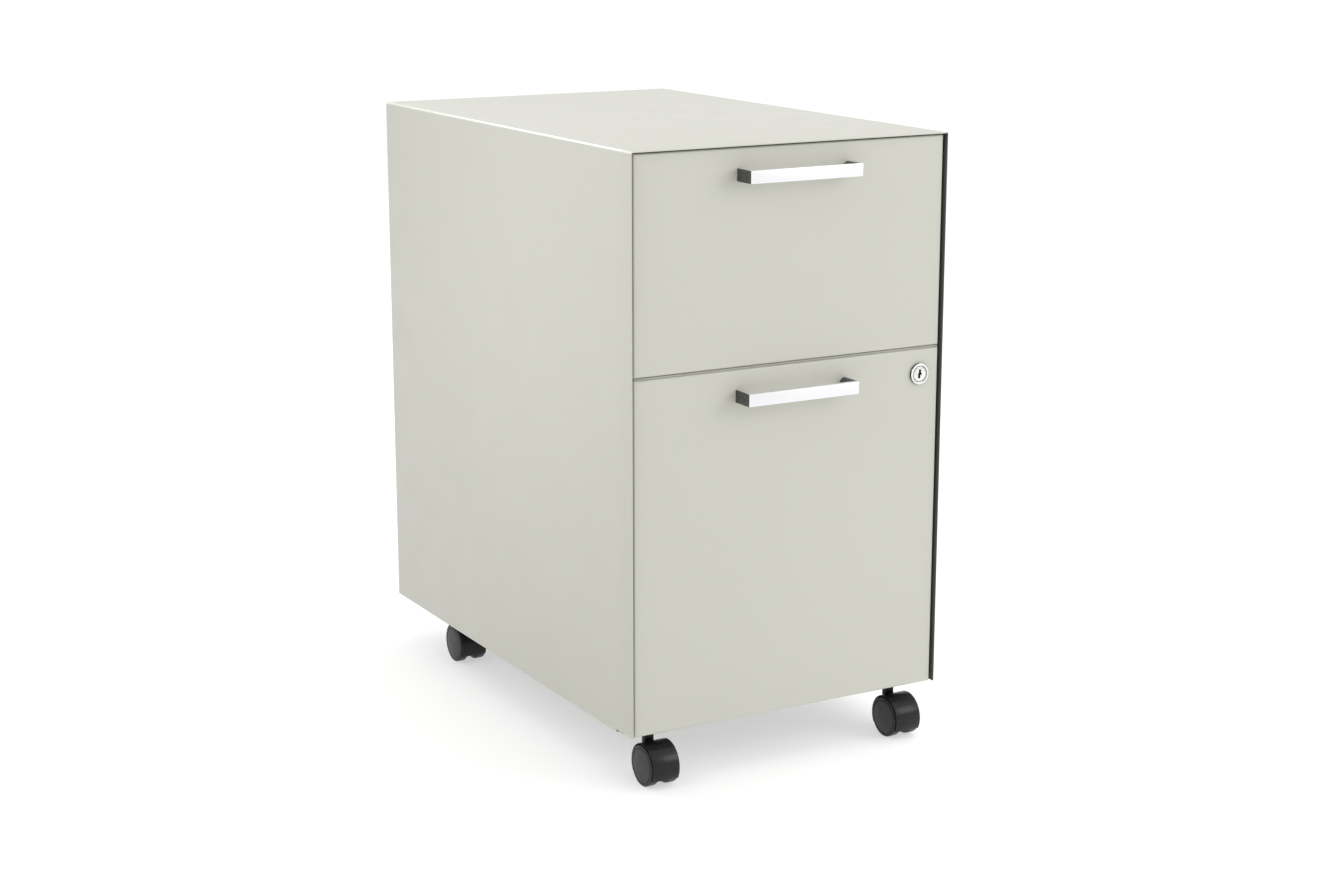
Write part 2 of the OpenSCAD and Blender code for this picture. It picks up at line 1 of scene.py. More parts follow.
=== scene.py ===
"""Builds the visible pieces of a two-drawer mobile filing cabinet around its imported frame."""

import math

import bmesh
import bpy
from mathutils import Euler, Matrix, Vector


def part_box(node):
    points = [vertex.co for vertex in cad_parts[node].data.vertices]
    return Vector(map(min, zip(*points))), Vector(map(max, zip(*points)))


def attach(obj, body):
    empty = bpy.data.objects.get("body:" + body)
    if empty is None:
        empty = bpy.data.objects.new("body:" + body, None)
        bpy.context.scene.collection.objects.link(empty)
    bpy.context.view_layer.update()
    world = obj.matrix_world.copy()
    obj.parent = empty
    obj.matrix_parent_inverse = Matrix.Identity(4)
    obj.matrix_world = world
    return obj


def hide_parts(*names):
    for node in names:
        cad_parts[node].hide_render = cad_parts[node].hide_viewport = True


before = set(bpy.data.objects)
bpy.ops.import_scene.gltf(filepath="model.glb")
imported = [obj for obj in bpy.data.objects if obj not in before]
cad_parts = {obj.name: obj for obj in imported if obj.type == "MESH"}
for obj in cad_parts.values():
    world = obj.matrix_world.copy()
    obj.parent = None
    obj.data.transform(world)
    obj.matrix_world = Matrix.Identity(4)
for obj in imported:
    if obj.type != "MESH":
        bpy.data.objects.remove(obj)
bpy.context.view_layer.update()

bl_info = {
    "name": "Mobile Filing Cabinet",
    "version": (1, 0, 0),
    "blender": (4, 5, 0),
    "location": "View3D > Sidebar > Cabinet",
    "description": "Builds the visible pieces of a two-drawer filing cabinet around its packed frame",
    "category": "Object",
}

MM = 0.001
MICRON = 0.000001
CORNERS = ("front_left", "front_right", "rear_left", "rear_right")
SIDES = ("outer", "inner")
DRAWERS = ("box", "file")
BUMPER_GAP = 0.2 * MM
BARREL_RADIUS = 8.0 * MM
KEYWAY_REACH = 5.0 * MM
KEYWAY_DEPTH = 11.0 * MM
AXLE_BORE = 2.05 * MM
COVER_WALL = 2.0 * MM


def distance(name, description, millimetres):
    return bpy.props.FloatProperty(
        name=name, description=description, default=millimetres * MM, min=0.0,
        subtype="DISTANCE", unit="LENGTH",
    )


def colour(name, description, rgb):
    return bpy.props.FloatVectorProperty(
        name=name, description=description, default=rgb, size=3, min=0.0, max=1.0, subtype="COLOR"
    )


def factor(name, description, value):
    return bpy.props.FloatProperty(
        name=name, description=description, default=value, min=0.0, max=1.0, subtype="FACTOR"
    )


class CabinetSizes(bpy.types.PropertyGroup):
    """Sizes of the cabinet's finer shapes, which the frame leaves plain."""

    sheet: distance("Sheet", "Thickness of the case's sheet", 1.0)
    corner_bend: distance("Corner bend", "Outside radius of the case's top corner bends", 2.0)
    foot_bend: distance("Foot bend", "Outside radius of the bends along the case's bottom", 1.2)
    foot_flange: distance("Foot flange", "Width of the flanges along the case's bottom", 14.0)
    notch_length: distance("Notch length", "Length of the notch in each lower front corner", 30.0)
    notch_height: distance("Notch height", "Height of the notch in each lower front corner", 3.0)
    case_edge: distance("Case edge", "Rounding of the case's outer front and back edges", 0.4)
    front_edge: distance("Front edge", "Rounding of the cut edges of a drawer front", 0.15)
    bumper_inset: distance("Bumper inset", "Gap from the lower front's edges to the bumper strip", 0.6)
    bumper_depth: distance("Bumper depth", "Depth of the bumper strip between the fronts", 5.0)
    bumper_edge: distance("Bumper edge", "Rounding of the bumper strip's edges", 0.3)
    handle_edge: distance("Handle edge", "Rounding of a handle's edges", 0.4)
    handle_bar: distance("Handle bar", "Thickness of a handle's bar", 4.0)
    lock_proud: distance("Lock rim", "How far the lock's rim stands out from the front", 2.5)
    lock_edge: distance("Lock edge", "Rounding of the lock rim's outer edge", 0.5)
    plug_bore: distance("Plug bore", "Radius of the bore that the lock's plug turns in", 6.55)
    plug_edge: distance("Plug edge", "Chamfer round the lock plug's face", 0.12)
    keyway_edge: distance("Keyway edge", "Chamfer that leads the key into its slot", 0.3)
    hood_edge: distance("Hood edge", "Rounding of a caster hood's edges", 0.5)
    wheel_inside: distance("Wheel inside", "From a caster's middle to the inner face of a wheel", 4.3)
    tread_wall: distance("Tread wall", "Thickness of a wheel's tread and hub", 4.5)
    tread_edge: distance("Tread edge", "Rounding of the tread's inner edge", 3.0)
    rim_edge: distance("Rim edge", "Rounding of the tread's outer edge", 1.0)
    cap_dome: distance("Cap dome", "Rise of the dome on a wheel's cap", 1.0)
    cap_inset: distance("Cap inset", "Width of the rim round a wheel's cap", 3.0)
    cap_groove: distance("Cap groove", "Depth of the groove round a wheel's cap", 0.6)


class CabinetColours(bpy.types.PropertyGroup):
    """Colours and gloss of the cabinet's finishes."""

    paint: colour("Paint", "Powder coat of the case and the drawer fronts", (0.545, 0.545, 0.484))
    paint_roughness: factor("Paint roughness", "Roughness of the powder coat", 0.42)
    # Dark primer inside the case; on the lock side's cut edges the same dark is painted shade.
    dark: colour("Dark paint", "Primer inside the case and on its cut edges", (0.078, 0.081, 0.073))
    steel: colour("Handle steel", "Brushed steel of the handles", (0.58, 0.58, 0.575))
    # Painted reflection: the handles' ends and legs are darkened to stand for the dark surroundings that the
    # steel reflects.
    legs: colour("Handle legs", "Darker steel of the handles' ends and legs", (0.130, 0.130, 0.132))
    nickel: colour("Lock nickel", "Bright nickel of the lock", (0.80, 0.79, 0.77))
    zinc: colour("Zinc", "Zinc plate of the slides and fasteners", (0.60, 0.62, 0.64))
    plastic: colour("Caster plastic", "Nylon of the hoods and wheels", (0.009, 0.009, 0.009))
    iron: colour("Cast iron", "Raw iron of the counterweight", (0.060, 0.061, 0.065))


def sizes():
    return bpy.context.scene.cabinet_sizes


def colours():
    return bpy.context.scene.cabinet_colours


# --- Finishes ---


class Finish:
    """A material whose nodes are added one by one around a Principled BSDF."""

    def __init__(self, name, **fixed):
        self.material = bpy.data.materials.new(name)
        self.material.use_nodes = True
        self.tree = self.material.node_tree
        self.surface = self.tree.nodes["Principled BSDF"]
        for socket, value in fixed.items():
            self.surface.inputs[socket.replace("_", " ")].default_value = value
        self.place = self.node("ShaderNodeTexCoord").outputs["Object"]
        self.heights = []

    def node(self, kind, inputs=(), **settings):
        made = self.tree.nodes.new(kind)
        for key, value in settings.items():
            setattr(made, key, value)
        for key, value in dict(inputs).items():
            if isinstance(value, bpy.types.NodeSocket):
                self.tree.links.new(value, made.inputs[key])
            else:
                made.inputs[key].default_value = value
        return made

    def stretched(self, scale):
        return self.node("ShaderNodeMapping", {"Vector": self.place, "Scale": scale}).outputs["Vector"]

    def noise(self, scale, detail=2.0, roughness=0.5, place=None):
        inputs = {"Vector": place or self.place, "Scale": scale, "Detail": detail, "Roughness": roughness}
        return self.node("ShaderNodeTexNoise", inputs).outputs["Fac"]

    def cells(self, scale, feature="SMOOTH_F1", output="Distance", place=None):
        inputs = {"Vector": place or self.place, "Scale": scale}
        return self.node("ShaderNodeTexVoronoi", inputs, feature=feature).outputs[output]

    def ranged(self, value, low, high, start=0.3, end=0.7):
        inputs = {"Value": value, "From Min": start, "From Max": end, "To Min": low, "To Max": high}
        return self.node("ShaderNodeMapRange", inputs).outputs["Result"]

    def sum(self, first, second, operation="ADD"):
        return self.node("ShaderNodeMath", {0: first, 1: second}, operation=operation).outputs["Value"]

    def tones(self, value, rgb, spread, start=0.3, end=0.7):
        """Varies the base colour about rgb, by the share spread each way, as value goes from start to end."""
        ramp = self.node("ShaderNodeValToRGB", {"Fac": value})
        low, high = ramp.color_ramp.elements
        low.position, high.position = start, end
        low.color = [min(1.0, c * (1.0 - spread)) for c in rgb] + [1.0]
        high.color = [min(1.0, c * (1.0 + spread)) for c in rgb] + [1.0]
        self.tree.links.new(ramp.outputs["Color"], self.surface.inputs["Base Color"])

    def roughness(self, socket):
        self.tree.links.new(socket, self.surface.inputs["Roughness"])

    def relief(self, height, depth, strength=1.0):
        """Adds one layer of bump that is depth metres deep."""
        inputs = {"Height": height, "Distance": depth, "Strength": strength}
        if self.heights:
            inputs["Normal"] = self.heights[-1]
        self.heights.append(self.node("ShaderNodeBump", inputs).outputs["Normal"])
        self.tree.links.new(self.heights[-1], self.surface.inputs["Normal"])


def powder_coat(name, rgb, roughness, spread=0.012):
    """Baked powder: a fine orange peel, small pinpoints, and a tone that drifts a little over a panel."""
    coat = Finish(name, Specular_IOR_Level=0.42)
    drift = coat.noise(2.3, 3.0)
    speckle = coat.noise(1900.0, 1.0)
    coat.tones(coat.sum(drift, coat.ranged(speckle, -0.05, 0.05)), rgb, spread)
    coat.roughness(coat.ranged(coat.noise(26.0, 4.0), roughness - 0.04, roughness + 0.04))
    coat.relief(coat.cells(620.0), 16 * MICRON, 0.5)
    coat.relief(coat.noise(2400.0, 2.0), 7 * MICRON, 0.5)
    coat.relief(coat.noise(9.0, 2.0), 260 * MICRON, 0.06)
    return coat.material


def zinc_plate(name, rgb):
    """Clear zinc: soft blotches, a drawn grain and a fine crystal."""
    zinc = Finish(name, Metallic=1.0)
    crystal = zinc.cells(260.0, "F1", "Color")
    blotch = zinc.noise(34.0, 4.0, 0.6)
    zinc.tones(zinc.sum(zinc.ranged(crystal, -0.10, 0.10, 0.0, 1.0), blotch), rgb, 0.16)
    zinc.roughness(zinc.ranged(zinc.noise(75.0, 3.0), 0.27, 0.42))
    grain = zinc.stretched((1.0, 0.05, 1.0))
    zinc.relief(zinc.noise(1700.0, 3.0, place=grain), 6 * MICRON, 0.5)
    return zinc.material


def brushed_steel(name, rgb):
    """Steel brushed lengthwise: long hairlines that break up the gloss."""
    steel = Finish(name, Metallic=1.0, Anisotropic=0.5)
    hair = steel.stretched((0.012, 1.0, 1.0))
    lines = steel.noise(2600.0, 4.0, 0.7, hair)
    bands = steel.noise(420.0, 3.0, 0.6, hair)
    steel.tones(steel.sum(steel.sum(lines, bands), 0.5, "MULTIPLY"), rgb, 0.15)
    steel.roughness(steel.ranged(bands, 0.22, 0.38))
    steel.relief(lines, 5 * MICRON, 0.6)
    steel.relief(bands, 9 * MICRON, 0.35)
    return steel.material


def bright_nickel(name, rgb):
    """Buffed nickel: nearly a mirror, with faint polishing haze."""
    nickel = Finish(name, Metallic=1.0)
    nickel.tones(nickel.noise(300.0, 3.0), rgb, 0.03)
    nickel.roughness(nickel.ranged(nickel.noise(210.0, 4.0, 0.6), 0.10, 0.19))
    nickel.relief(nickel.noise(900.0, 2.0), 4 * MICRON, 0.4)
    return nickel.material


def moulded_plastic(name, rgb, low=0.30, high=0.44):
    """Moulded nylon: a spark-eroded grain with handling sheen and a trace of dust."""
    plastic = Finish(name, Specular_IOR_Level=0.30)
    plastic.tones(plastic.noise(60.0, 4.0, 0.65), rgb, 0.10)
    plastic.roughness(plastic.ranged(plastic.noise(90.0, 2.0), low, high))
    plastic.relief(plastic.cells(2100.0, "F1"), 4 * MICRON, 0.4)
    plastic.relief(plastic.noise(4200.0, 2.0), 2 * MICRON, 0.3)
    return plastic.material


def raw_iron(name, rgb):
    """Sand-cast iron: a coarse skin with pits, darker in its hollows."""
    iron = Finish(name, Metallic=0.35)
    skin = iron.noise(210.0, 6.0, 0.7)
    pits = iron.cells(150.0)
    iron.tones(iron.sum(skin, iron.ranged(pits, -0.12, 0.12, 0.0, 1.0)), rgb, 0.35)
    iron.roughness(iron.ranged(skin, 0.50, 0.74))
    iron.relief(skin, 220 * MICRON, 0.6)
    iron.relief(pits, 300 * MICRON, 0.4)
    return iron.material


RECIPES = {
    "case_powder_coat": lambda c: powder_coat("case_powder_coat", c.paint, c.paint_roughness),
    # Painted highlight: the top bends take a coat 1.45 times lighter than the case, so that they read as a
    # bright ridge.
    "bend_painted_highlight_coat": lambda c: powder_coat("bend_painted_highlight_coat", [1.45 * v for v in c.paint], 0.26),
    "drawer_powder_coat": lambda c: powder_coat("drawer_powder_coat", c.paint, c.paint_roughness),
    # Dark primer inside the case, also used as painted shade on the lock side's rim.
    "dark_primer_and_shade": lambda c: powder_coat("dark_primer_and_shade", c.dark, 0.5, 0.10),
    "handle_steel": lambda c: brushed_steel("handle_steel", c.steel),
    # Painted reflection: dark steel on the handles' ends and legs.
    "handle_legs_painted_reflection": lambda c: brushed_steel("handle_legs_painted_reflection", c.legs),
    # Painted shadow: near-black on the lock's sunk faces, keyway and rim side wall.
    "lock_shadow": lambda c: moulded_plastic("lock_shadow", (0.012, 0.012, 0.012), 0.5, 0.6),
    "lock_nickel": lambda c: bright_nickel("lock_nickel", c.nickel),
    "zinc_plate": lambda c: zinc_plate("zinc_plate", c.zinc),
    "black_zinc": lambda c: zinc_plate("black_zinc", (0.05, 0.05, 0.055)),
    "caster_nylon": lambda c: moulded_plastic("caster_nylon", c.plastic, 0.24, 0.34),
    # Painted light: the wheel caps take a nylon 3.2 times lighter, for the light falling on their outward
    # faces.
    "cap_painted_light_nylon": lambda c: moulded_plastic("cap_painted_light_nylon", [3.2 * v for v in c.plastic], 0.34, 0.46),
    # Painted shade: the bumper strip's grey is darkened so that the gap between the fronts reads as a soft
    # grey line.
    "bumper_foam_painted_shade": lambda c: moulded_plastic("bumper_foam_painted_shade", (0.34, 0.34, 0.31), 0.6, 0.75),
    "guide_acetal": lambda c: moulded_plastic("guide_acetal", (0.035, 0.035, 0.036), 0.38, 0.52),
    "cast_iron": lambda c: raw_iron("cast_iron", c.iron),
}


def finish(name):
    """The finish of that name, made the first time it is asked for."""
    return bpy.data.materials.get(name) or RECIPES[name](colours())


# --- Mesh work ---


def merged_copy(node):
    """A bmesh of a frame node's shape with its doubles merged and its flat faces whole."""
    bm = bmesh.new()
    bm.from_mesh(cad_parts[node].data)
    bmesh.ops.remove_doubles(bm, verts=bm.verts, dist=2 * MICRON)
    bmesh.ops.dissolve_limit(bm, angle_limit=math.radians(0.4), verts=bm.verts, edges=bm.edges)
    return bm


def pulled(bm, edges, vector):
    """Extrudes the edges along the vector."""
    grown = bmesh.ops.extrude_edge_only(bm, edges=edges)["geom"]
    bmesh.ops.translate(bm, verts=[v for v in grown if isinstance(v, bmesh.types.BMVert)], vec=vector)


def soften(bm, edges, width, segments=2):
    return bmesh.ops.bevel(
        bm, geom=list(edges), offset=width, offset_type="OFFSET", segments=segments, profile=0.5,
        affect="EDGES", clamp_overlap=True, material=-1, loop_slide=True,
    )["faces"]


def sharp_edges(bm, degrees=35.0):
    """The outward corners that turn more than the angle."""
    limit = math.radians(degrees)
    return [e for e in bm.edges if e.is_manifold and e.is_convex and e.calc_face_angle(0.0) > limit]


def smooth_by_angle(bm, degrees=32.0):
    limit = math.radians(degrees)
    for face in bm.faces:
        face.smooth = True
    for edge in bm.edges:
        edge.smooth = len(edge.link_faces) == 2 and edge.calc_face_angle(0.0) < limit


def spun(profile, axis, centre, steps=96):
    """A closed solid from a profile of (height along the axis, radius), spun about the axis."""
    bm = bmesh.new()
    along = Vector(axis)
    out = Vector((0.0, 0.0, 1.0))
    ring = [bm.verts.new(Vector(centre) + along * height + out * radius) for height, radius in profile]
    edges = [bm.edges.new((ring[i], ring[(i + 1) % len(ring)])) for i in range(len(ring))]
    edges = [e for e in edges if max((v.co - Vector(centre)).cross(along).length for v in e.verts) > MICRON]
    bmesh.ops.spin(
        bm, geom=ring + edges, cent=centre, axis=axis, dvec=(0.0, 0.0, 0.0), angle=2.0 * math.pi,
        steps=steps, use_merge=True, use_normal_flip=False, use_duplicate=False,
    )
    loose = [e for e in bm.edges if not e.link_faces]
    bmesh.ops.delete(bm, geom=loose, context="EDGES")
    bmesh.ops.remove_doubles(bm, verts=bm.verts, dist=MICRON)
    bmesh.ops.recalc_face_normals(bm, faces=bm.faces)
    return bm


def arc(centre, radius, start, end, steps=6):
    """Points on an arc in a (height, radius) profile, from one angle to another in degrees."""
    angles = [math.radians(start + (end - start) * i / steps) for i in range(steps + 1)]
    return [(centre[0] + radius * math.cos(a), centre[1] + radius * math.sin(a)) for a in angles]


def make_piece(bm, name, body, slot, finishes, *nodes):
    """Turns a bmesh into a finished piece that rides on a body and stands for the frame nodes."""
    mesh = bpy.data.meshes.new(name)
    bm.to_mesh(mesh)
    bm.free()
    piece = bpy.data.objects.new(name, mesh)
    bpy.context.scene.collection.objects.link(piece)
    if mesh.has_custom_normals:
        with bpy.context.temp_override(object=piece, active_object=piece):
            bpy.ops.mesh.customdata_custom_splitnormals_clear()
    for each in finishes:
        mesh.materials.append(finish(each))
    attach(piece, body)
    if nodes:
        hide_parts(*nodes)
    return piece


def coat_node(node, name):
    """Gives a frame node its finish."""
    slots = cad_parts[node].material_slots
    if not slots:
        raise RuntimeError(f"the frame node {node} has no material slot")
    for each in slots:
        each.material = finish(name)


# --- Pieces ---


class CABINET_OT_case(bpy.types.Operator):
    """Fold the case wrap from one sheet and coat the pieces fixed to it"""

    bl_idname = "cabinet.case"
    bl_label = "Case"

    def execute(self, context):
        s = sizes()
        low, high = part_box("case_wrap")
        bm = bmesh.new()
        path = [(low.x, low.z), (low.x, high.z), (high.x, high.z), (high.x, low.z)]
        corners = [bm.verts.new((x, low.y, z)) for x, z in path]
        edges = [bm.edges.new(pair) for pair in zip(corners, corners[1:])]
        pulled(bm, edges, (0.0, high.y - low.y, 0.0))
        self.face_up(bm, high.z)
        bends = [e for e in bm.edges if len(e.link_faces) == 2]
        soften(bm, bends, s.corner_bend, 8)

        self.cut_notches(bm, low.y + s.notch_length, low.z + s.notch_height)
        for edge in [e for e in bm.edges if self.at_foot(e, low.z)]:
            inward = -math.copysign(s.foot_flange, edge.verts[0].co.x)
            pulled(bm, [edge], (inward, 0.0, 0.0))
        self.face_up(bm, high.z)
        toes = [e for e in bm.edges if len(e.link_faces) == 2 and self.at_foot(e, low.z)]
        soften(bm, toes, s.foot_bend, 4)
        self.thicken(bm, low, high)
        smooth_by_angle(bm, 40.0)
        finishes = ["case_powder_coat", "dark_primer_and_shade", "bend_painted_highlight_coat"]
        make_piece(bm, "case_wrap_sheet", "case", "case_paint", finishes, "case_wrap")
        coat_node("back_panel", "case_powder_coat")
        for node in ("bottom_pan", "top_stiffener"):
            coat_node(node, "dark_primer_and_shade")
        return {"FINISHED"}

    def face_up(self, bm, top):
        """Turns the sheet's normals so that they all point out of the case."""
        bmesh.ops.recalc_face_normals(bm, faces=bm.faces)
        bm.normal_update()
        lid = next(f for f in bm.faces if abs(f.normal.z) > 0.9 and f.calc_center_median().z > top - MM)
        if lid.normal.z < 0.0:
            bmesh.ops.reverse_faces(bm, faces=bm.faces)

    def at_foot(self, edge, bottom):
        return all(v.co.z < bottom + MICRON for v in edge.verts)

    def cut_notches(self, bm, notch_y, notch_z):
        """Cuts the notch out of each side's lower front corner."""
        planes = (((0.0, notch_y, 0.0), (0.0, 1.0, 0.0)), ((0.0, 0.0, notch_z), (0.0, 0.0, 1.0)))
        for point, normal in planes:
            geom = bm.verts[:] + bm.edges[:] + bm.faces[:]
            bmesh.ops.bisect_plane(bm, geom=geom, plane_co=point, plane_no=normal, dist=MICRON)
        middles = {f: f.calc_center_median() for f in bm.faces}
        notch = [f for f, middle in middles.items() if middle.y < notch_y and middle.z < notch_z]
        bmesh.ops.delete(bm, geom=notch, context="FACES")

    def thicken(self, bm, low, high):
        """Gives the folded sheet its thickness, with dark primer inside, painted shade on the lock side's rim
        and a painted highlight on the top bends.
        """
        s = sizes()
        bm.normal_update()
        outside = set(bm.faces)
        bmesh.ops.solidify(bm, geom=list(bm.faces), thickness=s.sheet)
        bm.normal_update()
        painted, primer_and_shade, highlight_bend = 0, 1, 2
        # Inside faces take the dark primer; the lock side's front and back rim is painted dark as shade,
        # while the other rims keep the case's paint.
        for face in bm.faces:
            middle = face.calc_center_median()
            rim = abs(face.normal.y) > 0.9 and middle.x < high.x - 2.0 * s.sheet
            face.material_index = painted if face in outside or rim else primer_and_shade
        rims = [
            e for e in bm.edges
            if len(e.link_faces) == 2
            and len([f for f in e.link_faces if f in outside]) == 1
            and all(min(abs(v.co.y - low.y), abs(v.co.y - high.y)) < MICRON for v in e.verts)
        ]
        # The rounded rim edges on the lock side are painted dark as shade as well.
        for face in soften(bm, rims, s.case_edge, 3):
            shaded_lock_side = face.calc_center_median().x > high.x - 2.0 * s.sheet
            face.material_index = primer_and_shade if shaded_lock_side else painted
        # Painted highlight: the upward faces of the top bends take the lighter bend coat.
        for face in bm.faces:
            on_highlight_bend = min(abs(face.normal.x), abs(face.normal.z)) > 0.2 and face.normal.z > 0.0
            if on_highlight_bend and face.material_index == painted:
                face.material_index = highlight_bend


class CABINET_OT_drawer_fronts(bpy.types.Operator):
    """Break the edges of the folded drawer fronts and coat the liners behind them"""

    bl_idname = "cabinet.drawer_fronts"
    bl_label = "Drawer Fronts"

    def execute(self, context):
        for drawer in DRAWERS:
            node = drawer + "_drawer_front"
            bm = merged_copy(node)
            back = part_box(node)[1].y
            cut = [e for e in sharp_edges(bm, 60.0) if all(v.co.y > back - MICRON for v in e.verts)]
            soften(bm, cut, sizes().front_edge)
            smooth_by_angle(bm, 25.0)
            finishes = ["drawer_powder_coat"]
            make_piece(bm, drawer + "_front_pan", drawer + "_drawer", "case_paint", finishes, node)
            coat_node(drawer + "_front_liner", "drawer_powder_coat")
        self.bumper()
        return {"FINISHED"}

    def bumper(self):
        """The soft strip on the lower front's top edge, which the upper front nearly rests on. Its grey is
        darkened as painted shade, so that the gap between the fronts reads as a soft grey line.
        """
        s = sizes()
        front_low, front_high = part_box("file_drawer_front")
        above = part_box("box_drawer_front")[0].z
        inset = s.bumper_inset
        width = front_high.x - front_low.x - 2.0 * inset
        size = (width, s.bumper_depth, above - front_high.z - BUMPER_GAP)
        bm = bmesh.new()
        bmesh.ops.create_cube(bm, size=1.0)
        bmesh.ops.scale(bm, vec=size, verts=bm.verts)
        middle = (0.0, front_low.y + inset + size[1] / 2, front_high.z + size[2] / 2)
        bmesh.ops.translate(bm, vec=middle, verts=bm.verts)
        soften(bm, sharp_edges(bm), s.bumper_edge)
        smooth_by_angle(bm)
        make_piece(bm, "front_bumper_strip", "file_drawer", "case_paint", ["bumper_foam_painted_shade"])


class CABINET_OT_drawer_bodies(bpy.types.Operator):
    """Coat the drawer bodies and plate the folder rails"""

    bl_idname = "cabinet.drawer_bodies"
    bl_label = "Drawer Bodies"

    def execute(self, context):
        for drawer in DRAWERS:
            coat_node(drawer + "_drawer_body", "drawer_powder_coat")
        coat_node("folder_rails", "zinc_plate")
        return {"FINISHED"}


class CABINET_OT_handles(bpy.types.Operator):
    """Round the edges of the bar handles and brush them, with a painted dark reflection on their ends and
    legs
    """

    bl_idname = "cabinet.handles"
    bl_label = "Handles"

    def execute(self, context):
        for drawer in DRAWERS:
            node = drawer + "_handle"
            bm = merged_copy(node)
            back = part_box(node)[1].y
            edges = [e for e in sharp_edges(bm) if not all(v.co.y > back - MICRON for v in e.verts)]
            soften(bm, edges, sizes().handle_edge, 3)
            bm.normal_update()
            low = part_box(node)[0]
            # Painted reflection: the legs behind the bar and the sideways end faces take the dark leg steel,
            # standing for the dark surroundings they reflect.
            for face in bm.faces:
                behind = face.calc_center_median().y > low.y + sizes().handle_bar + MICRON
                face.material_index = 1 if behind or abs(face.normal.x) > 0.8 else 0
            smooth_by_angle(bm)
            finishes = ["handle_steel", "handle_legs_painted_reflection"]
            make_piece(bm, drawer + "_handle_bar", drawer + "_drawer", "handle_steel", finishes, node)
            coat_node(drawer + "_handle_screws", "zinc_plate")
        return {"FINISHED"}


class CABINET_OT_lock(bpy.types.Operator):
    """Turn the lock's rim, cut its plug and plate the parts behind it"""

    bl_idname = "cabinet.lock"
    bl_label = "Lock"

    def execute(self, context):
        low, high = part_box("lock_housing")
        centre = ((low.x + high.x) / 2, low.y, (low.z + high.z) / 2)
        self.rim(centre, (high.x - low.x) / 2, high.y - low.y)
        self.plug(centre)
        for node in ("lock_nut", "lock_cam", "lock_bar"):
            coat_node(node, "zinc_plate")
        coat_node("lock_bar_guides", "guide_acetal")
        return {"FINISHED"}

    def off_axis(self, point, centre):
        return math.hypot(point.x - centre[0], point.z - centre[2])

    def rim(self, centre, radius, length):
        """The rim and barrel, with a fine turned groove round the plug, and painted shadow on the side wall
        and in the groove and bore.
        """
        s = sizes()
        proud, edge, bore = s.lock_proud, s.lock_edge, s.plug_bore
        profile = [(proud, BARREL_RADIUS), (proud, radius - 0.25 * MM), (proud - 0.25 * MM, radius)]
        profile += arc((edge, radius - edge), edge, 90.0, 180.0)
        profile += [(0.0, bore + 1.0 * MM), (0.12 * MM, bore + 0.8 * MM)]
        profile += [(0.12 * MM, bore + 0.5 * MM), (0.0, bore + 0.4 * MM)]
        profile += [(0.0, bore + 0.15 * MM), (0.15 * MM, bore), (length, bore), (length, BARREL_RADIUS)]
        bm = spun(profile, (0.0, 1.0, 0.0), centre)
        for face in bm.faces:
            middle = face.calc_center_median()
            depth = middle.y - centre[1]
            sunk = depth > 0.05 * MM and self.off_axis(middle, centre) < radius - 1.5 * MM
            face.material_index = 1 if sunk or depth > 0.6 * MM else 0
        smooth_by_angle(bm, 40.0)
        finishes = ["lock_nickel", "lock_shadow"]
        make_piece(bm, "lock_rim", "file_drawer", "lock_chrome", finishes, "lock_housing")

    def plug(self, centre):
        """The plug, with a chamfered face and a keyway painted in shadow."""
        s = sizes()
        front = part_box("lock_plug")[0].y
        bm = merged_copy("lock_plug")
        outlines = [e for e in sharp_edges(bm, 50.0) if all(v.co.y < front + MICRON for v in e.verts)]
        middles = {e: (e.verts[0].co + e.verts[1].co) / 2 for e in outlines}
        keyway = [e for e in outlines if self.off_axis(middles[e], centre) < KEYWAY_REACH]
        soften(bm, set(outlines) - set(keyway), s.plug_edge)
        soften(bm, [e for e in keyway if e.is_valid], s.keyway_edge)
        bm.normal_update()
        for face in bm.faces:
            middle = face.calc_center_median()
            sunk = front + 0.02 * MM < middle.y < front + KEYWAY_DEPTH
            face.material_index = 1 if sunk and self.off_axis(middle, centre) < KEYWAY_REACH else 0
        smooth_by_angle(bm)
        finishes = ["lock_nickel", "lock_shadow"]
        make_piece(bm, "lock_plug_face", "lock_plug", "lock_chrome", finishes, "lock_plug")


